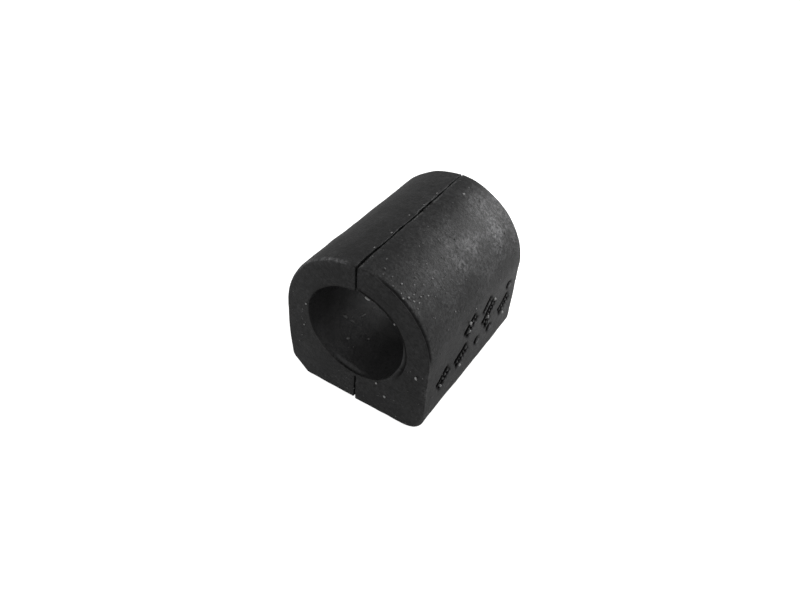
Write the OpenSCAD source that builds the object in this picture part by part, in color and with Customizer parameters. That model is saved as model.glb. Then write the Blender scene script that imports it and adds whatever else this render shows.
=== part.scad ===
// Sway bar bushing: one block of moulded rubber that holds an anti-roll bar in its bore.
// A strap passes over the dome and clamps the flat base down on its seat.
// The origin is the centre of the bore at mid-length. The bore runs along Y.
// The base faces down, the dome faces up and the end face with the lower Y is the front.
// All sizes are in millimetres and all angles in degrees.

/* [Block] */

// Length of the block along the bar
block_length = 40.5; // [32:0.5:60]

// Width of the block across the dome
block_width = 35; // [33:0.5:44]

// Height of the bore's centre above the base
centre_height = 20; // [18:0.5:26]

// Lean of each side wall inward, from the dome down to the base
side_lean = 0.3; // [0:0.1:4]

/* [Base corners] */

// Width of the sloping flat along the left corner of the base
slope_width = 3.9; // [1:0.1:6]

// Height of the sloping flat along the left corner of the base
slope_height = 3.3; // [1:0.1:6]

// Radius of the rounding along the right corner of the base
right_corner_radius = 4.4; // [1:0.1:6]

/* [Bore] */

// Diameter of the bore that grips the bar
bore_diameter = 24; // [18:0.5:25]

// Bevel around each mouth of the bore
mouth_bevel = 0.5; // [0.2:0.1:1.5]

/* [Cuts] */

// Width of the slit through the top wall, which lets the block open over the bar
slit_width = 0.4; // [0.3:0.1:2]

// Width of the cut that runs up from the base below the bore
relief_width = 0.3; // [0.2:0.1:2]

// Thickness of the rubber web left between that cut and the bore, which bends as a hinge
web_thickness = 0.9; // [0.5:0.1:3]

/* [Raised marks] */

// Height of the raised marks above the right side wall
mark_height = 0.4; // [0.2:0.1:0.8]

// Width of one raised bar
bar_width = 0.9; // [0.5:0.1:1.4]

// Length of one raised bar
bar_length = 4.6; // [3:0.1:5]

// Distance between the two bars of a pair, centre to centre
bar_spacing = 1.8; // [1.6:0.1:2.4]

// Diameter of one raised pip
pip_diameter = 1.6; // [0.8:0.1:2.4]

/* [Hidden] */

dome_radius = block_width / 2;
bore_radius = bore_diameter / 2;
base_z = -centre_height;
base_half = dome_radius - centre_height * tan(side_lean);
front_y = -block_length / 2;

// Each pair of bars: share of the length from the front end, share of the way up from the base
// to the bore's centre, tilt, and stretch of the bar's length
bar_pairs = [
    [0.18, 0.57, 31, 1],
    [0.37, 0.58, 24, 1.04],
    [0.44, 0.92, 40, 1],
    [0.66, 0.78, 50, 1.2],
    [0.86, 0.62, 30, 1]
];

// Each pip: share of the length from the front end and share of the way up to the bore's centre
pips = [
    [0.55, 0.51],
    [0.70, 0.48],
    [0.89, 0.86]
];

// How deep a raised mark reaches into the block, so that it is one with it
mark_root = 3 * mark_height;

// How far a cutting shape runs past the surface it opens
over = 1;

// Half width of the block at a height below the dome
function side_x(z) = dome_radius + z * tan(side_lean);

// Outline of the part below the dome's centre, without the rounded corner
module lower_outline() {
    polygon([
        [-dome_radius, 0],
        [-side_x(base_z + slope_height), base_z + slope_height],
        [-base_half + slope_width, base_z],
        [base_half - right_corner_radius, base_z],
        [side_x(base_z + right_corner_radius), base_z + right_corner_radius],
        [dome_radius, 0]
    ]);
}

// Closed outline of the block across the bar: dome, leaning sides and base
module outline() {
    circle(r = dome_radius, $fn = 180);
    lower_outline();
    translate([side_x(base_z + right_corner_radius) - right_corner_radius, base_z + right_corner_radius])
        circle(r = right_corner_radius, $fn = 90);
}

// The solid block along the bar
module block() {
    translate([0, -front_y, 0])
        rotate([90, 0, 0])
            linear_extrude(height = block_length)
                outline();
}

// The hole for the bar with a bevel at each mouth
module bore_cut() {
    rotate([90, 0, 0])
        cylinder(r = bore_radius, h = block_length + 2 * over, center = true, $fn = 180);
    for (turn = [0, 180])
        rotate([0, 0, turn])
            translate([0, front_y + mouth_bevel, 0])
                rotate([90, 0, 0])
                    cylinder(
                        r1 = bore_radius,
                        r2 = bore_radius + mouth_bevel + over,
                        h = mouth_bevel + over,
                        $fn = 180
                    );
}

// The slit through the top wall over the whole length
module slit_cut() {
    translate([-slit_width / 2, front_y - over, 0])
        cube([slit_width, block_length + 2 * over, dome_radius + over]);
}

// The cut from the base up to the web that stays below the bore
module relief_cut() {
    translate([-relief_width / 2, front_y - over, base_z - over])
        cube([relief_width, block_length + 2 * over, centre_height - bore_radius - web_thickness + over]);
}

// Places a mark on the right side wall, with local X outward and local Y along the bar
module on_side(along, up) {
    z = base_z + up * centre_height;
    translate([side_x(z), front_y + along * block_length, z])
        rotate([0, side_lean, 0])
            children();
}

// Two short raised bars side by side
module bar_pair(along, up, tilt, stretch) {
    length = bar_length * stretch;
    on_side(along, up)
        rotate([tilt, 0, 0])
            for (side = [-1, 1])
                translate([-mark_root, -length / 2, side * bar_spacing / 2 - bar_width / 2])
                    cube([mark_root + mark_height, length, bar_width]);
}

// One small round raised pip
module pip(along, up) {
    on_side(along, up)
        translate([-mark_root, 0, 0])
            rotate([0, 90, 0])
                cylinder(r = pip_diameter / 2, h = mark_root + mark_height, $fn = 48);
}

module bushing() {
    color([0.2, 0.2, 0.2])
    difference() {
        union() {
            block();
            for (b = bar_pairs)
                bar_pair(b[0], b[1], b[2], b[3]);
            for (p = pips)
                pip(p[0], p[1]);
        }
        bore_cut();
        slit_cut();
        relief_cut();
    }
}

bushing();
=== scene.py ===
import math

import bpy
import numpy as np
from mathutils import Matrix, Vector
from mathutils.bvhtree import BVHTree
from mathutils.geometry import delaunay_2d_cdt


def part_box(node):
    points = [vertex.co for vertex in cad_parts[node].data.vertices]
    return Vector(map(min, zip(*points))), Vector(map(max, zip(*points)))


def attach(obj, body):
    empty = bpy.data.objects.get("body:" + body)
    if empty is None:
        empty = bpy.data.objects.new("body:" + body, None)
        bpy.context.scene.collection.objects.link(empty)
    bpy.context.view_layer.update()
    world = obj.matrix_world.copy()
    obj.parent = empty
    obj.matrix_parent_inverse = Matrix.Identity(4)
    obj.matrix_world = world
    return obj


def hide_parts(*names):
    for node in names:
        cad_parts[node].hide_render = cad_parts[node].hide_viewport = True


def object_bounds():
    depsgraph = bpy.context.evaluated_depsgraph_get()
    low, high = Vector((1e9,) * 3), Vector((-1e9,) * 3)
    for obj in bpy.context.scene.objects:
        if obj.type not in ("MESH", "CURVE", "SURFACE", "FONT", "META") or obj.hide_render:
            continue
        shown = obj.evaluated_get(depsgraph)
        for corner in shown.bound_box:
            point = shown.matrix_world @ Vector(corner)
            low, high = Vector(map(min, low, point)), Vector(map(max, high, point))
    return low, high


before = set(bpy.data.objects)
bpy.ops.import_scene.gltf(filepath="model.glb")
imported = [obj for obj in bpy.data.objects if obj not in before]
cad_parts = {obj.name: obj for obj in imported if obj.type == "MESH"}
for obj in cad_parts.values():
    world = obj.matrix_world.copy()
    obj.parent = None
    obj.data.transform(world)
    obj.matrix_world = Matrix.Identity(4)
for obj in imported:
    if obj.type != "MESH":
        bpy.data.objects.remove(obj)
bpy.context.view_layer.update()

MM = 0.001

# Sizes of the block in millimetres, in the frame's axes
part_low, part_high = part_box("bushing")
FRONT = part_low.y / MM
BACK = part_high.y / MM + 0.1
LENGTH = BACK - FRONT
DOME_R = part_high.z / MM + 0.08
BORE_R = 12.0
BASE_Z = part_low.z / MM - 0.1
LEAN = math.tan(math.radians(0.3))
CORNER_R = 4.4
# Top of the sloping flat at the left corner of the base, and its foot
SLOPE_TOP_Z = -16.6
SLOPE_FOOT_X = -13.35
# Half widths of the slit in the dome and of the cut in the base, and where that cut ends
SLIT_HALF = 0.17
CUT_HALF = 0.23
CUT_TOP = -12.9

# Raised marks on the right wall: place along the bar, height, tilt in degrees, bar length
BAR_PAIRS = [
    (-12.96, -8.6, 31, 4.6),
    (-5.27, -8.4, 24, 4.78),
    (-2.43, -1.6, 40, 4.6),
    (6.48, -4.4, 50, 5.52),
    (14.58, -7.6, 30, 4.6),
]
# Single short bars beside the fourth pair
SHORT_BARS = [(4.7, -1.0, 45, 3.6), (6.6, -7.6, 62, 2.2)]
BAR_GAP, BAR_WIDE, MARK_HIGH = 1.8, 0.9, 0.4
PIPS = [(2.03, -9.8), (8.10, -10.4), (15.8, -2.8)]
PIP_R = 0.8
MOAT_DEEP = 0.32

# Pale beads at the ends of the raised marks, as painted glints: place along the bar, height on the wall
GLINT_BEADS = [(-14.0, -10.0), (-6.0, -10.4), (6.1, -5.4), (14.1, -10.0), (-3.9, 0.5), (-3.1, -2.7), (7.9, -1.3)]


# Helpers

def waves(seed, length, count=10):
    """A smooth seeded field over space: about -1 to 1, features about `length` mm across."""
    rng = np.random.default_rng(seed)
    d = rng.normal(size=(count, 3))
    d /= np.linalg.norm(d, axis=1)[:, None]
    k = d * (2 * math.pi / (length * rng.uniform(0.75, 1.5, (count, 1))))
    ph = rng.uniform(0, 2 * math.pi, count)
    amp = 1.3 / math.sqrt(count)

    def f(p):
        return amp * np.sin(p @ k.T + ph).sum(-1)
    return f


def bell(v, middle, width):
    return np.exp(-((v - middle) / width) ** 2)


def ramp(v, a, b):
    t = np.clip((v - a) / (b - a), 0, 1)
    return t * t * (3 - 2 * t)


# Section of the block

def fillet(p, d_in, d_out, radius, steps):
    """Points of a small arc that rounds the corner at p between two directions."""
    d_in, d_out = np.array(d_in) / np.hypot(*d_in), np.array(d_out) / np.hypot(*d_out)
    turn = math.acos(float(np.clip(d_in @ d_out, -1, 1)))
    reach = radius * math.tan(turn / 2)
    a, b = np.array(p) - d_in * reach, np.array(p) + d_out * reach
    side = 1.0 if d_in[0] * d_out[1] - d_in[1] * d_out[0] > 0 else -1.0
    c = a + side * radius * np.array([-d_in[1], d_in[0]])
    v = a - c
    out = []
    for i in range(steps + 1):
        t = turn * i / steps * side
        co, si = math.cos(t), math.sin(t)
        out.append(c + np.array([v[0] * co - v[1] * si, v[0] * si + v[1] * co]))
    return out, reach


def arc(r, a0, a1, gap):
    n = max(2, int(abs(a1 - a0) * r / gap))
    return [np.array([r * math.cos(a), r * math.sin(a)]) for a in np.linspace(a0, a1, n + 1)]


def line(p, q, gap):
    p, q = np.array(p, float), np.array(q, float)
    n = max(1, int(np.hypot(*(q - p)) / gap))
    return [p + (q - p) * i / n for i in range(n + 1)]


def side_x(z):
    """Half width of the block at a height below the dome."""
    return DOME_R + z * LEAN


# Centre of the rounding at the right corner of the base
CORNER_Z = BASE_Z + CORNER_R
CORNER_X = side_x(CORNER_Z) - CORNER_R
# The outline has finer steps this far to each side of the cut in the base
NEAR_CUT = 1.5


def section():
    """The closed outline of the block across the bar, counter-clockwise, and its edge radii."""
    pts, front_r, back_r = [], [], []

    def add(ps, fr, br):
        for q in ps:
            if pts and np.hypot(*(q - pts[-1])) < 1e-4:
                continue
            pts.append(np.array(q, float))
            front_r.append(fr)
            back_r.append(br)

    edge, rear = 0.22, 0.18
    # left lip of the slit, then over the left half of the dome and down
    za = math.sqrt(DOME_R ** 2 - SLIT_HALF ** 2)
    f, reach = fillet((-SLIT_HALF, za), (0, 1), (-1, -0.01), 0.13, 5)
    add(f, 0.1, 0.1)
    a0 = math.atan2(za, -SLIT_HALF - reach)
    add(arc(DOME_R, a0, math.pi, 0.42), edge, rear)
    # left wall, sloping left corner with soft ends
    top, foot = (-side_x(SLOPE_TOP_Z), SLOPE_TOP_Z), (SLOPE_FOOT_X, BASE_Z)
    d_slope = (foot[0] - top[0], foot[1] - top[1])
    f1, _ = fillet(top, (LEAN, -1), d_slope, 2.2, 8)
    f2, _ = fillet(foot, d_slope, (1, 0), 1.2, 6)
    add(line((-DOME_R, 0), f1[0], 0.5), edge, rear)
    add(f1, edge, rear)
    add(line(f1[-1], f2[0], 0.4), edge, rear)
    add(f2, edge, rear)
    # base and the cut that runs up from it
    f, _ = fillet((-CUT_HALF, BASE_Z), (1, 0), (0, 1), 0.2, 4)
    add(line(f2[-1], (-NEAR_CUT, BASE_Z), 0.6), edge, rear)
    add(line((-NEAR_CUT, BASE_Z), f[0], 0.25), edge, rear)
    add(f, 0.12, 0.12)
    add(line(f[-1], (-CUT_HALF, CUT_TOP - 0.1), 0.5), 0.07, 0.07)
    add([(-CUT_HALF * 0.4, CUT_TOP), (CUT_HALF * 0.4, CUT_TOP)], 0.06, 0.06)
    f, _ = fillet((CUT_HALF, BASE_Z), (0, -1), (1, 0), 0.2, 4)
    add(line((CUT_HALF, CUT_TOP - 0.1), f[0], 0.5), 0.07, 0.07)
    add(f, 0.12, 0.12)
    # right corner of the base and the right wall, which has fine steps for the dips round the marks
    add(line(f[-1], (NEAR_CUT, BASE_Z), 0.25), edge, rear)
    add(line((NEAR_CUT, BASE_Z), (CORNER_X, BASE_Z), 0.6), edge, rear)
    centre = np.array([CORNER_X, CORNER_Z])
    turn = np.linspace(-math.pi / 2, -LEAN, 20)
    add([centre + CORNER_R * np.array([math.cos(a), math.sin(a)]) for a in turn], edge, rear)
    add(line((side_x(CORNER_Z), CORNER_Z), (DOME_R, 0), 0.27), edge, rear)
    # right half of the dome, up to the right lip of the slit
    f, reach = fillet((SLIT_HALF, za), (-1, 0.01), (0, -1), 0.26, 6)
    a1 = math.atan2(za, SLIT_HALF + reach)
    add(arc(DOME_R, 0, 0.24, 0.28), edge, rear)
    add(arc(DOME_R, 0.24, a1, 0.42), edge, rear)
    add(f, 0.16, 0.14)
    # right wall of the slit, the bore, left wall of the slit
    zb = math.sqrt(BORE_R ** 2 - SLIT_HALF ** 2)
    add(line(f[-1], (SLIT_HALF, zb + 0.3), 0.55), 0.07, 0.07)
    f, reach = fillet((SLIT_HALF, zb), (0, -1), (1, 0.02), 0.14, 4)
    add(f, 0.08, 0.08)
    b0 = math.atan2(zb, SLIT_HALF + reach)
    f2, reach2 = fillet((-SLIT_HALF, zb), (1, 0.02), (0, 1), 0.14, 4)
    b3 = math.atan2(zb, -SLIT_HALF - reach2)
    add(arc(BORE_R, b0, b3 - 2 * math.pi, 0.62), 0.16, 0.25)
    add(f2, 0.08, 0.08)
    add(line((-SLIT_HALF, zb + 0.3), (-SLIT_HALF, za - 0.4), 0.55), 0.07, 0.07)
    p = np.array(pts)
    d = np.roll(p, -1, 0) - np.roll(p, 1, 0)
    n = np.stack([d[:, 1], -d[:, 0]], 1)
    n /= np.linalg.norm(n, axis=1)[:, None]
    return p, n, np.array(front_r), np.array(back_r)


def smooth_loop(v, passes):
    for _ in range(passes):
        v = (np.roll(v, 1) + 2 * v + np.roll(v, -1)) / 4
    return v


# Shape irregularities

low_wave = waves(11, 16.0)
mid_wave = waves(12, 5.0)
small_wave = waves(13, 1.9, 14)
slit_wave = waves(14, 9.0, 6)
lip_wave = waves(15, 2.2, 10)


def bar_list():
    """Each raised bar's middle (along, height), its direction and its length."""
    out = []
    for y, z, tilt, length in BAR_PAIRS:
        t = math.radians(tilt)
        for side in (-1, 1):
            across = side * BAR_GAP / 2
            out.append((y - across * math.sin(t), z + across * math.cos(t), t, length))
    out += [(y, z, math.radians(tilt), length) for y, z, tilt, length in SHORT_BARS]
    return out


def mark_distance(y, z):
    """Distance over the right wall to the nearest raised mark, in mm."""
    best = np.full(np.shape(y), 99.0)
    for my, mz, t, length in bar_list():
        u = (y - my) * math.cos(t) + (z - mz) * math.sin(t)
        v = -(y - my) * math.sin(t) + (z - mz) * math.cos(t)
        d = np.hypot(np.maximum(np.abs(u) - length / 2, 0), np.maximum(np.abs(v) - BAR_WIDE / 2, 0))
        best = np.minimum(best, d)
    for my, mz in PIPS:
        best = np.minimum(best, np.maximum(np.hypot(y - my, z - mz) - PIP_R, 0))
    return best


def mould(p):
    """Moves points of the true section (mm) to the moulded and cut shape of the real block."""
    x, y, z = p[:, 0].copy(), p[:, 1].copy(), p[:, 2].copy()
    r = np.hypot(x, z)
    ang = np.degrees(np.arctan2(z, x))
    outer = ramp(r, BORE_R + 0.6, DOME_R - 1.0)
    front = 1 - ramp(y, FRONT + 2, FRONT + 26)
    # the left half leans out a little below the dome
    left = ramp(-x, 6, 16)
    out = 0.42 * bell(z, -8.0, 6.0) + 0.15 * bell(z, 1.0, 6.0) - 0.10 * bell(z, -16.0, 2.0)
    x = x - left * (0.5 + 0.5 * front) * out
    # and the foot of the right wall draws in toward the front
    x = x - 0.12 * ramp(x, 12, 16.5) * front * bell(z, -16.8, 2.4)
    swell = 0.12 * (1 - ramp(y, -12, 4)) * bell(ang, 131, 16) - 0.04 * bell(y, 7, 6) * bell(ang, 150, 22)
    # the right half stands a little proud beside the slit toward the back
    swell = swell + ramp(y, -6, 19) * (0.42 * bell(ang, 80, 14) + 0.14 * bell(ang, 58, 12))
    swell = swell - 0.10 * ramp(y, 8, 20) * bell(ang, 122, 9)
    # shallow groove just behind the front edge of the dome's right half
    behind = bell(y, FRONT + 0.60, 0.28) * ramp(ang, 2, 12) * (1 - ramp(ang, 66, 80))
    swell = swell - 0.22 * behind
    # faint round witness mark over the slit
    ring = np.hypot(y - 2.8, np.radians(ang - 91) * DOME_R) - 2.0
    swell = swell + 0.05 * bell(ring, 0, 0.3) * (ang > 60) * (ang < 120)
    swell = swell * outer
    x = x + swell * np.cos(np.radians(ang))
    z = z + swell * np.sin(np.radians(ang))
    # the base steps at the cut, where the right half reaches a little lower
    base = ramp(-z, 17.2, 19.9)
    z = z - base * 0.27 * ramp(x, -0.02, 0.1) * (1 - ramp(x, 2.5, 10.0))
    z = z + base * 0.07 * bell(x, -0.8, 1.8)
    # the slit wanders and its lips are uneven
    top = ramp(z, 9, 12)
    q = np.stack([0 * y, y, 0 * z + 3], 1)
    x = x + top * bell(x, 0, 2.2) * (0.08 * slit_wave(q) - 0.04)
    gape = (0.035 * lip_wave(q) + 0.10 * bell(y, FRONT + 9.3, 0.5) + 0.08 * bell(y, FRONT + 30.3, 0.6)
            + 0.05 * bell(y, FRONT + 16.0, 1.0) - 0.04 * ramp(y, 0, 20)) * ramp(z, 12.0, 17.0)
    gape = gape + 0.13 * (1 - ramp(y, FRONT, FRONT + 13)) * top
    x = x + np.sign(p[:, 0]) * gape * bell(np.abs(p[:, 0]), 0.17, 0.4)
    # bottom cut bends slightly to the left on its way down
    low = ramp(-z, 12.6, 14.0) * bell(x, 0, 1.5)
    x = x - low * 0.14 * ramp(-z, 13.5, 19.5)
    # the wall dips round each raised mark
    wall = ramp(p[:, 0], 16.6, 17.2) * ramp(z, -15.5, -14.0) * (1 - ramp(z, 3.0, 4.0))
    d = mark_distance(p[:, 1], p[:, 2])
    x = x - wall * MOAT_DEEP * np.exp(-(d / 0.45) ** 2)
    return np.stack([x, y, z], 1)


def lip_height(a):
    """Height of the thin moulded lip inside the front mouth of the bore at angle a (deg)."""
    b = np.mod(a - 180, 360) + 180
    right_rim = 0.82 * ramp(b, 296, 338) * (1 - 0.62 * ramp(b, 350, 385)) * (1 - ramp(b, 395, 440))
    beside_slit = 0.36 * ramp(b, 392, 412) * (1 - ramp(b, 440, 447))
    upper_left = 0.62 * ramp(b, 449, 452) * (1 - ramp(b, 482, 530))
    return right_rim + beside_slit + upper_left + 0.50 * bell(b, 260, 8)


def lip_depth(a):
    """Depth of that lip's crest behind the front face."""
    b = np.mod(a - 180, 360) + 180
    return 0.18 + 0.26 * ramp(b, 325, 348) * (1 - ramp(b, 400, 440)) + 1.2 * (1 - ramp(b, 268, 300))


# The block's mesh

def in_end_face(x, z):
    """Whether a point across the bar lies within the end faces, clear of the cuts and the base's corners."""
    r = math.hypot(x, z)
    if r <= BORE_R or (r >= DOME_R if z > 0 else abs(x) >= side_x(z)):
        return False
    if z < CORNER_Z and x > CORNER_X and math.hypot(x - CORNER_X, z - CORNER_Z) > CORNER_R:
        return False
    if z < -16 and x < -13 and z + 20 < (SLOPE_FOOT_X - x) * 0.85:
        return False
    return abs(x) >= 0.3 or CUT_TOP <= z <= 0


def build_block():
    """Points (mm) and faces of the closed block: rings of the section along the bar and two end faces."""
    loop, normal, front_r, back_r = section()
    count = len(loop)
    front_r = smooth_loop(front_r, 2)
    back_r = smooth_loop(back_r, 2)
    ang = np.degrees(np.arctan2(loop[:, 1], loop[:, 0]))
    rad = np.hypot(loop[:, 0], loop[:, 1])
    is_bore = np.abs(rad - BORE_R) < 0.01
    is_dome = (rad > DOME_R - 0.01) & (loop[:, 1] > 0)
    # softer front edge on the right half beside the slit
    front_r = front_r + is_dome * 0.45 * bell(ang, 81, 5.5) * ramp(90 - ang, 0.8, 4)
    # and a wider round along the left half and at the right corner of the base
    front_r = front_r + is_dome * (0.16 * ramp(ang, 93, 100) + 0.66 * bell(ang, 149, 13))
    front_r = front_r + (rad > BORE_R + 1) * 0.75 * bell(ang, -49, 10)
    front_r = front_r + is_bore * 0.24 * ramp(ang, -45, -22) * (1 - ramp(ang, 84, 89))
    front_r = smooth_loop(front_r, 3)

    rows = []   # each row: (count, 3)

    def ring(inset, depth, from_front):
        q = loop - normal * inset[:, None]
        y = FRONT + depth if from_front else BACK - depth
        return np.stack([q[:, 0], y * np.ones(count), q[:, 1]], 1)

    steps = 6
    rows.append(ring(front_r + 0.10, 0 * front_r, True))
    for s in range(steps + 1):
        f = math.pi / 2 * s / steps
        rows.append(ring(front_r * (1 - math.sin(f)), front_r * (1 - math.cos(f)), True))
    near = [0.08, 0.16, 0.26, 0.38, 0.52, 0.68, 0.86, 1.08, 1.35, 1.65, 2.0, 2.4, 2.9]
    for d in near:
        rows.append(ring(0 * front_r, front_r * (1 - d / 3) + d, True))
    inner = np.arange(3.2, LENGTH - 2.6, 0.27)
    for d in inner:
        rows.append(ring(0 * front_r, d * np.ones(count), True))
    for d in [2.3, 1.6, 1.1, 0.7, 0.4, 0.2]:
        rows.append(ring(0 * back_r, back_r * (1 - d / 3) + d, False))
    for s in range(steps, -1, -1):
        f = math.pi / 2 * s / steps
        rows.append(ring(back_r * (1 - math.sin(f)), back_r * (1 - math.cos(f)), False))
    rows.append(ring(back_r + 0.10, 0 * back_r, False))
    grid = np.array(rows)

    # the thin lip inside the front mouth, with a narrow groove outside it
    depth = grid[..., 1] - FRONT
    a = np.broadcast_to(ang, depth.shape)
    h = lip_height(a) * is_bore
    c = lip_depth(a)
    tail = 0.6 + 1.8 * ramp(np.mod(a - 180, 360), 95, 120)
    inward = h * ramp(depth, c - 0.13, c) * (1 - ramp(depth, c + 0.15, c + tail))
    inward = inward - 0.16 * np.minimum(h, 0.6) * bell(depth, c - 0.16, 0.1) * ramp(c, 0.2, 0.4)
    turn = np.mod(a - 180, 360) + 180
    inward = inward - 0.50 * is_bore * bell(turn, 259, 19) * bell(depth, 0.70, 0.50)
    scale = 1 - inward / np.maximum(np.hypot(grid[..., 0], grid[..., 2]), 1)
    grid[..., 0] *= scale
    grid[..., 2] *= scale

    n_rows = len(rows)
    verts = grid.reshape(-1, 3)
    faces = []
    idx = np.arange(count)
    nxt = np.roll(idx, -1)
    for s in range(n_rows - 1):
        a0, b0 = s * count, (s + 1) * count
        for k in range(count):
            faces.append((a0 + k, b0 + k, b0 + nxt[k], a0 + nxt[k]))

    # end faces, filled with even triangles
    extra = []
    for row, flip in ((0, False), (n_rows - 1, True)):
        ringp = grid[row]
        y = ringp[0, 1]
        poly = [Vector((v[0], v[2])) for v in ringp]
        pitch = 0.95
        pts = []
        for j, zz in enumerate(np.arange(BASE_Z + 0.5, DOME_R - 0.2, pitch * 0.866)):
            for xx in np.arange(-17.0 + (j % 2) * pitch / 2, 17.4, pitch):
                d = np.min(np.hypot(ringp[:, 0] - xx, ringp[:, 2] - zz))
                if d > 0.5 and in_end_face(xx, zz):
                    pts.append(Vector((xx, zz)))
        res = delaunay_2d_cdt(poly + pts, [], [list(range(count))], 1, 1e-5)
        vs, _, fs, orig = res[0], res[1], res[2], res[3]
        remap = {}
        for i, o in enumerate(orig):
            hit = [q for q in o if q < count]
            if hit:
                remap[i] = row * count + hit[0]
            else:
                remap[i] = len(verts) + len(extra)
                extra.append((vs[i][0], y, vs[i][1]))
        for f in fs:
            t = [remap[i] for i in f]
            faces.append(tuple(t[::-1]) if flip else tuple(t))
    return np.vstack([verts, np.array(extra)]), faces


def make_object(name, verts, faces, material):
    """A smooth-shaded object from points in mm."""
    me = bpy.data.meshes.new(name)
    points = [tuple(v * MM) for v in np.asarray(verts, float)]
    me.from_pydata(points, [], [tuple(int(i) for i in f) for f in faces])
    me.validate()
    me.shade_smooth()
    me.materials.append(material)
    ob = bpy.data.objects.new(name, me)
    bpy.context.scene.collection.objects.link(ob)
    return ob


# Materials

def rubber_material(name):
    """Black rubber with painted shade, a pale tint with painted light and a mottled dusty bloom with painted
    highlight, steered by vertex colour.
    """
    m = bpy.data.materials.new(name)
    m.use_nodes = True
    nt = m.node_tree
    nt.nodes.clear()
    out = nt.nodes.new("ShaderNodeOutputMaterial")
    bsdf = nt.nodes.new("ShaderNodeBsdfPrincipled")
    nt.links.new(bsdf.outputs[0], out.inputs[0])
    coords = nt.nodes.new("ShaderNodeTexCoord")

    def noise(feature_mm, detail, rough=0.55):
        n = nt.nodes.new("ShaderNodeTexNoise")
        n.inputs["Scale"].default_value = 1 / (feature_mm * MM)
        n.inputs["Detail"].default_value = detail
        n.inputs["Roughness"].default_value = rough
        nt.links.new(coords.outputs["Object"], n.inputs["Vector"])
        return n.outputs["Fac"]

    def remap(sock, a, b, c, d):
        r = nt.nodes.new("ShaderNodeMapRange")
        for key, value in (("From Min", a), ("From Max", b), ("To Min", c), ("To Max", d)):
            r.inputs[key].default_value = value
        nt.links.new(sock, r.inputs["Value"])
        return r.outputs["Result"]

    def combine(op, a, b):
        n = nt.nodes.new("ShaderNodeMath")
        n.operation = op
        for i, v in enumerate((a, b)):
            if isinstance(v, (int, float)):
                n.inputs[i].default_value = v
            else:
                nt.links.new(v, n.inputs[i])
        return n.outputs[0]

    def blend(factor, a, b):
        n = nt.nodes.new("ShaderNodeMix")
        n.data_type = "RGBA"
        for key, v in (("A", a), ("B", b)):
            if isinstance(v, float):
                n.inputs[key].default_value = (v, v, v * 1.02, 1)
            else:
                nt.links.new(v, n.inputs[key])
        nt.links.new(factor, n.inputs["Factor"])
        return n.outputs["Result"]

    # The vertex colour: red is painted shade, green is dust with painted highlight, blue is a pale tint with
    # painted light
    surface = nt.nodes.new("ShaderNodeAttribute")
    surface.attribute_name = "surface"
    split = nt.nodes.new("ShaderNodeSeparateColor")
    nt.links.new(surface.outputs["Color"], split.inputs["Color"])
    painted_shade, dust_and_painted_highlight, pale_tint_and_painted_light = (split.outputs[key] for key in ("Red", "Green", "Blue"))

    patches = noise(6.0, 3)
    speckle = noise(0.85, 4, 0.72)
    pepper = noise(0.38, 3, 0.7)
    cloudy = remap(patches, 0.38, 0.60, 0.22, 1.1)
    grainy = remap(speckle, 0.40, 0.62, 0.05, 1.0)
    dust_and_highlight_mix = combine("MULTIPLY", cloudy, grainy)
    dust_and_highlight_mix = combine("MULTIPLY", dust_and_highlight_mix, remap(pepper, 0.38, 0.60, 0.30, 1.0))
    # the mottled dust lies where the green channel puts dust and painted highlight
    dust_and_highlight_mix = combine("MULTIPLY", dust_and_highlight_mix, dust_and_painted_highlight)
    plain = blend(remap(speckle, 0.38, 0.64, 0.0, 1.0), CLEAN * 0.7, CLEAN * 1.4)
    soft = noise(2.6, 3)
    # a pale tint, and painted light where the blue channel carries it
    tinted_and_lit = blend(combine("MULTIPLY", pale_tint_and_painted_light, remap(soft, 0.3, 0.7, 0.55, 1.25)), plain, PALE_TINT_AND_LIGHT)
    dusted_and_highlighted = blend(dust_and_highlight_mix, tinted_and_lit, DUST_AND_HIGHLIGHT)
    # painted shade: the colour falls toward a fifth of clean rubber, rougher and with less shine
    nt.links.new(blend(painted_shade, dusted_and_highlighted, CLEAN * 0.22), bsdf.inputs["Base Color"])
    rough = remap(dust_and_highlight_mix, 0.0, 1.0, 0.50, 0.62)
    nt.links.new(combine("ADD", rough, combine("MULTIPLY", painted_shade, 0.25)), bsdf.inputs["Roughness"])
    nt.links.new(remap(painted_shade, 0.0, 1.0, SHEEN, PAINTED_SHADE_SHEEN), bsdf.inputs["Specular IOR Level"])
    bsdf.inputs["IOR"].default_value = 1.5
    relief = combine("ADD", combine("MULTIPLY", speckle, 0.6), combine("MULTIPLY", pepper, 0.4))
    bump = nt.nodes.new("ShaderNodeBump")
    bump.inputs["Strength"].default_value = 1.0
    bump.inputs["Distance"].default_value = 0.17 * MM
    nt.links.new(relief, bump.inputs["Height"])
    nt.links.new(bump.outputs[0], bsdf.inputs["Normal"])
    return m


def crumb_material(name, albedo):
    """Pale talc and rubber crumbs; the pale ones also serve as painted glints."""
    m = bpy.data.materials.new(name)
    m.use_nodes = True
    bsdf = m.node_tree.nodes["Principled BSDF"]
    bsdf.inputs["Base Color"].default_value = (albedo, albedo, albedo, 1)
    bsdf.inputs["Roughness"].default_value = 0.6
    return m


# Colours of clean rubber, of its pale tint and painted light, and of its dust and painted highlight, and how
# strongly plain rubber and rubber under painted shade shine
CLEAN = 0.0095
PALE_TINT_AND_LIGHT = 0.032
DUST_AND_HIGHLIGHT = 0.162
SHEEN = 0.22
PAINTED_SHADE_SHEEN = 0.05

rubber = rubber_material("moulded_rubber")
pale_speck_and_glint = crumb_material("pale_crumbs", 0.24)
grit = crumb_material("grey_grit", 0.10)


# The block

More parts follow.
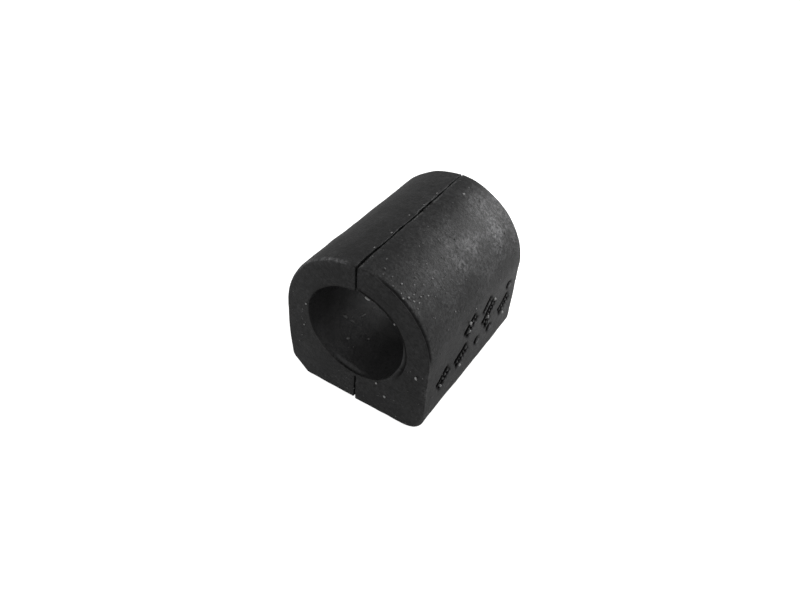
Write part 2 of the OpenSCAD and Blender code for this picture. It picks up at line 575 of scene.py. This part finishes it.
def surface_colours(p):
    """Painted shade, dust with painted highlight, and pale tint with painted light at each point of the
    block, from its place on the true section (mm).
    """
    x, y, z = p[:, 0], p[:, 1], p[:, 2]
    r = np.hypot(x, z)
    ang = np.degrees(np.arctan2(z, x))
    depth = y - FRONT
    wall = ramp(x, 16.6, 17.2) * ramp(z, -15.5, -14.0) * (1 - ramp(z, 3.0, 4.0))
    # painted shade in the dips round each raised mark
    painted_shade = wall * np.exp(-(mark_distance(y, z) / 0.42) ** 2)
    # painted shade: a dark line along the front edge of the dome's right half
    edge = bell(depth, 0.55, 0.42) * ramp(r, DOME_R - 0.6, DOME_R - 0.1)
    edge = edge * ramp(ang, 0, 12) * (1 - ramp(ang, 68, 82))
    # painted shade: a dark line round the right side of the bore's front mouth, outside the crest of its
    # lip, which is painted pale
    crest = ramp(BORE_R - r, 0.1, 0.4) * (1 - ramp(ang, 10, 25)) * (depth < 0.9)
    mouth = (r < BORE_R + 0.45) * (depth < 0.7) * ramp(ang, -42, -20) * (1 - ramp(ang, 86, 90))
    mouth = mouth * (1 - crest)
    # and painted shade: a darker band where the right wall rounds under
    under = -np.degrees(np.arctan2(z - CORNER_Z, x - CORNER_X))
    foot_r = np.hypot(x - CORNER_X, z - CORNER_Z)
    low_band = ramp(under, 9, 24) * (1 - ramp(under, 60, 85)) * ramp(foot_r, CORNER_R - 0.5, CORNER_R - 0.1)
    low_band = low_band * (x > CORNER_X) * (z < CORNER_Z) * ramp(depth, 0.2, 0.8)
    painted_shade = np.maximum(np.maximum(painted_shade, 0.8 * np.maximum(edge, mouth)), 0.55 * low_band)
    # dust on the shoulder with a painted highlight over it, more so toward the back
    shoulder = bell(ang, 44, 21) * (0.22 + 1.05 * ramp(depth, 2, 34))
    dust_and_painted_highlight = 0.12 + 0.95 * shoulder
    dust_and_painted_highlight = np.where((ang > 60) | (ang < -90), np.maximum(0.12, dust_and_painted_highlight), dust_and_painted_highlight)
    dust_and_painted_highlight = np.where((depth < 0.05) | (depth > LENGTH - 0.05), 0.10, dust_and_painted_highlight)
    # inside the bore, painted light: paler overall and most on the lower left, with a painted highlight on
    # the lip's crest
    inside = (r < BORE_R + 1.0) & (depth > 0.2)
    band = bell(np.mod(ang, 360), 232, 30)
    dust_and_painted_highlight = np.where(inside, 0.05 + 0.12 * band, dust_and_painted_highlight)
    pale_tint_and_painted_light = np.where(inside, 0.30 + 0.75 * band + 0.9 * crest * (ang > -60), 0.0)
    # the front face is paler toward the left and the bottom
    pale_tint_and_painted_light = np.where(depth < 0.05, 0.22 * ramp(-x, 4, 16) + 0.16 * ramp(-z, 6, 18), pale_tint_and_painted_light)
    # painted highlights on the front edge of the left half and along the back of the shoulder, strongest at
    # its far end, and a paler strip on the front edge of the right wall
    edge_highlight = bell(depth, 0.2, 0.35) * ramp(r, DOME_R - 0.6, DOME_R - 0.1)
    edge_highlight = edge_highlight * ramp(ang, 93, 100) * (1 - ramp(ang, 146, 170))
    foot = bell(depth, 0.2, 0.3) * ramp(x, 16, 17) * bell(z, -7, 5)
    skin_only = ramp(r, DOME_R - 1.2, DOME_R - 0.4)
    dust_and_painted_highlight = dust_and_painted_highlight + 1.4 * edge_highlight + 0.7 * foot + 1.1 * skin_only * bell(ang, 58, 11) * ramp(depth, 31, 40)
    dust_and_painted_highlight = dust_and_painted_highlight + 0.22 * skin_only * bell(ang, 46, 9) * ramp(depth, 15, 28)
    pale_tint_and_painted_light = pale_tint_and_painted_light + 0.9 * edge_highlight
    return np.clip(painted_shade, 0, 1), np.clip(dust_and_painted_highlight, 0, 1.5), np.clip(pale_tint_and_painted_light, 0, 1)


def paint(ob, painted_shade, dust_and_painted_highlight, pale_tint_and_painted_light):
    """Writes the vertex colour that steers the rubber's look."""
    layer = ob.data.color_attributes.new("surface", "FLOAT_COLOR", "POINT")
    data = np.zeros((len(painted_shade), 4), np.float32)
    data[:, 0], data[:, 1], data[:, 2], data[:, 3] = painted_shade, dust_and_painted_highlight, pale_tint_and_painted_light, 1
    layer.data.foreach_set("color", data.ravel())


verts, faces = build_block()
shaped = mould(verts)
block = make_object("bushing_block", shaped, faces, rubber)
paint(block, *surface_colours(verts))
# The waviness goes along the surface normals
field = 0.05 * low_wave(verts) + 0.022 * mid_wave(verts) + 0.008 * small_wave(verts)
normals = np.zeros(len(verts) * 3, np.float32)
block.data.vertices.foreach_get("normal", normals)
shaped = shaped + normals.reshape(-1, 3) * field[:, None]
block.data.vertices.foreach_set("co", (shaped * MM).astype(np.float32).ravel())
block.data.update()
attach(block, "root")
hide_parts("bushing")
skin = BVHTree.FromPolygons([tuple(v) for v in shaped], [tuple(int(i) for i in f) for f in faces])


# Raised marks on the right wall

ROOT = 0.45


def raised_pad(half_long, half_wide, height, square, notches=()):
    """A closed raised pad: local x along it, y across it, z out of the wall."""
    nu, nv = max(8, int(2 * half_long / 0.12)), 10
    u, v = np.meshgrid(np.linspace(-1, 1, nu + 1), np.linspace(-1, 1, nv + 1), indexing="ij")
    narrow = np.maximum(1 - np.abs(u) ** square, 0.03) ** (1 / square)
    x, y = u * half_long, v * half_wide * narrow
    cap = np.maximum(1 - np.abs(u) ** 6, 0) ** 0.5 * np.maximum(1 - np.abs(v) ** 4, 0) ** 0.5
    cut = sum((bell(x, c, 0.26) for c in notches), 0 * x)
    z = height * cap * (1 - 0.9 * np.clip(cut, 0, 1)) - 0.06
    top = np.stack([x, y, z], -1).reshape(-1, 3)
    low = np.stack([x, y, 0 * z - ROOT], -1).reshape(-1, 3)
    cols, n = nv + 1, (nu + 1) * (nv + 1)
    quads = []
    for i in range(nu):
        for j in range(nv):
            a = i * cols + j
            quads.append((a, a + cols, a + cols + 1, a + 1))
            quads.append((n + a, n + a + 1, n + a + cols + 1, n + a + cols))
    rim = [i * cols for i in range(nu + 1)] + [nu * cols + j for j in range(1, nv + 1)]
    rim += [i * cols + nv for i in range(nu - 1, -1, -1)] + [j for j in range(nv - 1, 0, -1)]
    for a, b in zip(rim, rim[1:] + rim[:1]):
        quads.append((b, a, n + a, n + b))
    return np.vstack([top, low]), quads


def on_wall(pts, y0, z0, tilt):
    """Sets a pad on the right wall at a place and tilt."""
    c, s = math.cos(tilt), math.sin(tilt)
    y = y0 + pts[:, 0] * c - pts[:, 1] * s
    z = z0 + pts[:, 0] * s + pts[:, 1] * c
    return np.stack([side_x(z) + pts[:, 2], y, z], 1)


def join_parts(parts):
    verts, faces, base = [], [], 0
    for v, f in parts:
        verts.append(v)
        faces += [tuple(base + i for i in q) for q in f]
        base += len(v)
    return np.vstack(verts), faces


marks_rng = np.random.default_rng(31)
parts, tops = [], []
for y0, z0, tilt, length in bar_list():
    notches = np.arange(-length / 2 + 0.85, length / 2 - 0.4, 0.95)
    notches = notches + marks_rng.uniform(-0.24, 0.24, len(notches))
    v, f = raised_pad(length / 2, BAR_WIDE / 2, MARK_HIGH, 5, notches)
    parts.append((on_wall(v, y0, z0, tilt), f))
    tops.append(v[:, 2])
for y0, z0 in PIPS:
    v, f = raised_pad(PIP_R, PIP_R, MARK_HIGH, 2)
    parts.append((on_wall(v, y0, z0, 0.5), f))
    tops.append(v[:, 2])
verts_m, faces_m = join_parts(parts)
marks = make_object("raised_marks", verts_m, faces_m, rubber)
# painted shade low on each mark and a painted highlight on its top
lift = ramp(np.concatenate(tops), 0.0, MARK_HIGH - 0.08)
paint(marks, 1 - lift, 0.1 + 0.85 * lift, lift)
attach(marks, "root")


# Pale crumbs and specks, and pale beads and a nib as painted glints

def ball():
    """A small icosphere as points and triangles."""
    t = (1 + 5 ** 0.5) / 2
    p = [(-1, t, 0), (1, t, 0), (-1, -t, 0), (1, -t, 0), (0, -1, t), (0, 1, t),
         (0, -1, -t), (0, 1, -t), (t, 0, -1), (t, 0, 1), (-t, 0, -1), (-t, 0, 1)]
    f = [(0, 11, 5), (0, 5, 1), (0, 1, 7), (0, 7, 10), (0, 10, 11), (1, 5, 9), (5, 11, 4), (11, 10, 2),
         (10, 7, 6), (7, 1, 8), (3, 9, 4), (3, 4, 2), (3, 2, 6), (3, 6, 8), (3, 8, 9), (4, 9, 5),
         (2, 4, 11), (6, 2, 10), (8, 6, 7), (9, 8, 1)]
    p = [np.array(q) / np.linalg.norm(q) for q in p]
    seen, out = {}, []

    def mid(a, b):
        key = (min(a, b), max(a, b))
        if key not in seen:
            q = p[a] + p[b]
            p.append(q / np.linalg.norm(q))
            seen[key] = len(p) - 1
        return seen[key]
    for a, b, c in f:
        ab, bc, ca = mid(a, b), mid(b, c), mid(c, a)
        out += [(a, ab, ca), (b, bc, ab), (c, ca, bc), (ab, bc, ca)]
    return np.array(p), out


BALL, BALL_FACES = ball()
crumb_rng = np.random.default_rng(47)


def crumb(place, size, stretch=1.0, turn=0.0, sink=0.25):
    """A lumpy crumb of a given half size (mm) sitting on the block's skin nearest to a place."""
    near, n, _, _ = skin.find_nearest(Vector(place))
    side = n.cross(Vector((0, 1, 0)) if abs(n.y) < 0.9 else Vector((1, 0, 0))).normalized()
    along = n.cross(side)
    a, b = math.cos(turn) * side + math.sin(turn) * along, -math.sin(turn) * side + math.cos(turn) * along
    lumps = 1 + 0.22 * np.sin(BALL @ crumb_rng.normal(0, 2.5, (3, 3))).sum(1) / 1.7
    q = BALL * lumps[:, None] * np.array([size * stretch, size, size * 0.75])
    axes = np.array([a, b, n])
    return q @ axes + np.array(near) + np.array(n) * size * (0.75 - sink), BALL_FACES


def dome_point(y, angle):
    t = math.radians(angle)
    return (DOME_R * math.cos(t), y, DOME_R * math.sin(t))


# Specks that stand out: place, half size, stretch, turn
SPECKS = [
    ((15.0, FRONT, -3.7), 0.26, 1.9, 0.35),
    ((7.8, FRONT, -14.3), 0.27, 1.2, 0.9),
    ((5.6, FRONT, -11.5), 0.24, 1.1, 0.2),
    ((-12.6, FRONT, 1.6), 0.20, 1.1, 0.0),
    ((9.2, FRONT, 8.0), 0.18, 1.3, 0.6),
    ((-13.5, FRONT, -5.0), 0.16, 1.2, 0.3),
    (dome_point(13.9, 77), 0.26, 1.1, 0.3),
    (dome_point(-13.3, 92.0), 0.12, 1.6, 1.5),
    (dome_point(-7.4, 91.8), 0.13, 1.9, 1.5),
    (dome_point(-0.1, 93.4), 0.14, 1.2, 0.5),
    (dome_point(4.9, 91.9), 0.11, 1.3, 1.5),
    (dome_point(10.3, 91.8), 0.13, 1.8, 1.5),
    (dome_point(-17.0, 62), 0.17, 1.2, 0.5),
    (dome_point(-18.1, 53), 0.2, 1.2, 0.1),
    (dome_point(-19.2, 55), 0.17, 1.2, 0.8),
    (dome_point(-13.9, 45), 0.16, 1.2, 0.4),
    (dome_point(-10.4, 51), 0.17, 1.1, 0.7),
    (dome_point(-8.8, 22), 0.15, 1.2, 0.2),
    (dome_point(-3.7, 1), 0.2, 1.1, 0.3),
    (dome_point(-1.3, 8), 0.15, 1.1, 0.3),
    (dome_point(-17.6, 49), 0.15, 1.5, 0.3),
    (dome_point(-16.6, 52), 0.12, 1.3, 1.1),
    (dome_point(-15.6, 48), 0.13, 1.2, 0.7),
    (dome_point(-17.9, 44), 0.11, 1.2, 0.2),
    (dome_point(-16.8, 46), 0.12, 1.6, 1.4),
    (dome_point(-18.7, 58), 0.11, 1.1, 0.6),
    (dome_point(-15.0, 56), 0.12, 1.2, 0.9),
    (dome_point(-13.2, 52), 0.11, 1.4, 0.1),
    (dome_point(-9.0, 60), 0.12, 1.2, 0.5),
]
parts = [crumb(place, size, stretch, turn) for place, size, stretch, turn in SPECKS]
# A pale nib in the mouth of the bore beside the slit, as a painted glint
parts.append(crumb((2.5, FRONT + 0.4, 11.1), 0.27, 2.4, 0.0, -1.3))
# pale beads as painted glints at the ends of the marks
for y0, z0 in GLINT_BEADS:
    parts.append(crumb((side_x(z0) + 0.6, y0, z0), 0.34, 1.05, 0.0, -0.25))


def speck_object(name, parts, material):
    ob = make_object(name, *join_parts(parts), material)
    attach(ob, "root")


speck_object("dust_specks_and_glints", parts, pale_speck_and_glint)

# Scuffs and bumps inside the bore, half sunk: place, half size, stretch, turn
SCUFFS = [
    ((-9.3, -11.0, -7.5), 0.26, 2.6, 0.5),
    ((-8.0, -10.1, -9.0), 0.22, 2.6, 0.5),
    ((-7.5, -6.6, -9.4), 0.20, 4.0, 1.4),
    ((-6.4, -14.2, -10.2), 0.32, 1.4, 0.9),
    ((-3.3, -10.5, -11.5), 0.22, 1.3, 0.2),
]
fine = [crumb(place, size, stretch, turn, 0.45) for place, size, stretch, turn in SCUFFS]
uniform = crumb_rng.uniform


def scatter(count, smallest, largest, place):
    """Adds crumbs of grit, most of them near the smallest size, where place() puts them."""
    for _ in range(count):
        size = smallest + (largest - smallest) * crumb_rng.random() ** 2.5
        fine.append(crumb(place(), size, uniform(1, 1.8), uniform(0, 3.1)))


scatter(110, 0.07, 0.16,
        lambda: dome_point(uniform(FRONT + 0.8, BACK - 1), crumb_rng.normal(52, 15)))
scatter(60, 0.06, 0.14,
        lambda: dome_point(uniform(FRONT + 0.8, BACK - 1), uniform(0, 178)))
scatter(40, 0.06, 0.13, lambda: (DOME_R, uniform(FRONT + 1, BACK - 1), uniform(-15, 0)))
scatter(40, 0.06, 0.13, lambda: (-DOME_R, uniform(FRONT + 1, BACK - 1), uniform(-16, 0)))
for end in (FRONT, BACK):
    scatter(24, 0.06, 0.14, lambda: (uniform(-15, 15), end, uniform(-19, -13)))
    scatter(22, 0.06, 0.14,
            lambda: (uniform(12.6, 16.8) * crumb_rng.choice((-1, 1)), end, uniform(-12, 4)))
scatter(40, 0.06, 0.16, lambda: (uniform(-11, -1), uniform(FRONT + 2, BACK - 4), uniform(-12, -4)))
speck_object("fine_grit", fine, grit)

# Floor, backdrop, light, camera

# The floor lies a hair below the block
floor_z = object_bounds()[0].z - 0.00002


def white_floor():
    """White paper that glows toward the camera only."""
    m = bpy.data.materials.new("paper_white")
    m.use_nodes = True
    nt = m.node_tree
    nt.nodes.clear()
    out = nt.nodes.new("ShaderNodeOutputMaterial")
    diff = nt.nodes.new("ShaderNodeBsdfDiffuse")
    diff.inputs["Color"].default_value = (0.7, 0.7, 0.7, 1)
    glow = nt.nodes.new("ShaderNodeEmission")
    glow.inputs["Color"].default_value = (1, 1, 1, 1)
    # the glow rises to full white away from the block, so that the horizon doesn't show
    coords = nt.nodes.new("ShaderNodeTexCoord")
    away = nt.nodes.new("ShaderNodeVectorMath")
    away.operation = "LENGTH"
    nt.links.new(coords.outputs["Object"], away.inputs[0])
    rise = nt.nodes.new("ShaderNodeMapRange")
    for key, value in (("From Min", 0.08), ("From Max", 0.5), ("To Min", 0.82), ("To Max", 1.0)):
        rise.inputs[key].default_value = value
    nt.links.new(away.outputs["Value"], rise.inputs["Value"])
    path = nt.nodes.new("ShaderNodeLightPath")
    mul = nt.nodes.new("ShaderNodeMath")
    mul.operation = "MULTIPLY"
    nt.links.new(rise.outputs["Result"], mul.inputs[1])
    nt.links.new(path.outputs["Is Camera Ray"], mul.inputs[0])
    nt.links.new(mul.outputs[0], glow.inputs["Strength"])
    add = nt.nodes.new("ShaderNodeAddShader")
    nt.links.new(diff.outputs[0], add.inputs[0])
    nt.links.new(glow.outputs[0], add.inputs[1])
    nt.links.new(add.outputs[0], out.inputs[0])
    return m


bpy.ops.mesh.primitive_plane_add(size=6, location=(0, 0, floor_z))
floor = bpy.context.object
floor.name = "floor"
floor.data.materials.append(white_floor())

# The world lights the block at this strength and looks white to the camera
WORLD_LEVEL = 0.54
world = bpy.data.worlds.new("studio")
bpy.context.scene.world = world
world.use_nodes = True
wn = world.node_tree
wn.nodes.clear()
w_out = wn.nodes.new("ShaderNodeOutputWorld")
w_bg = wn.nodes.new("ShaderNodeBackground")
w_bg.inputs["Color"].default_value = (1, 1, 1, 1)
w_path = wn.nodes.new("ShaderNodeLightPath")
w_mix = wn.nodes.new("ShaderNodeMapRange")
w_mix.inputs["To Min"].default_value = WORLD_LEVEL
w_mix.inputs["To Max"].default_value = 1.0
wn.links.new(w_path.outputs["Is Camera Ray"], w_mix.inputs["Value"])
wn.links.new(w_mix.outputs["Result"], w_bg.inputs["Strength"])
wn.links.new(w_bg.outputs[0], w_out.inputs[0])


def area(name, direction, distance, size, watts):
    """A square light that faces the block and that the camera doesn't see."""
    lamp = bpy.data.lights.new(name, "AREA")
    lamp.shape = "SQUARE"
    lamp.size = size
    lamp.energy = watts
    ob = bpy.data.objects.new(name, lamp)
    away = Vector(direction).normalized()
    ob.location = away * distance
    ob.rotation_mode = "QUATERNION"
    ob.rotation_quaternion = away.to_track_quat("Z", "Y")
    ob.visible_camera = False
    bpy.context.scene.collection.objects.link(ob)


# Name, direction from the block, distance (m), size (m) and power (W) of each soft light
LIGHTS = [
    ("close_back_light", (0.45, 0.85, 0.55), 0.10, 0.05, 0.053),
    ("low_back_light", (0.75, 0.85, 0.25), 0.16, 0.08, 0.045),
    ("left_back_box", (-0.60, 0.60, 0.60), 0.50, 0.30, 0.04),
    ("front_right_box", (0.60, -0.80, 0.30), 0.60, 0.40, 0.47),
    ("front_left_box", (-0.70, -0.75, 0.40), 0.60, 0.40, 0.73),
]
for name, direction, distance, size, watts in LIGHTS:
    area(name, direction, distance, size, watts)

# The camera's place is given in heights of the block, from the foot of its front face
HEIGHT = 37.5 * MM
cam_data = bpy.data.cameras.new("camera")
cam_data.sensor_width = 36
cam_data.sensor_fit = "HORIZONTAL"
cam_data.lens = 29.985
cam = bpy.data.objects.new("camera", cam_data)
bpy.context.scene.collection.objects.link(cam)
eye = Vector((1.494 * HEIGHT, -2.085 * HEIGHT - 20.25 * MM, 3.107 * HEIGHT - 20.0 * MM))
right = Vector((0.8364, 0.5458, 0.0512))
up = Vector((-0.3982, 0.5408, 0.7410))
ahead = Vector((-0.3767, 0.6401, -0.6696))
cam.matrix_world = Matrix((
    (right.x, up.x, -ahead.x, eye.x),
    (right.y, up.y, -ahead.y, eye.y),
    (right.z, up.z, -ahead.z, eye.z),
    (0, 0, 0, 1)))
cam_data.clip_start, cam_data.clip_end = 0.005, 20
bpy.context.scene.camera = cam

bpy.context.scene.view_settings.view_transform = "Standard"
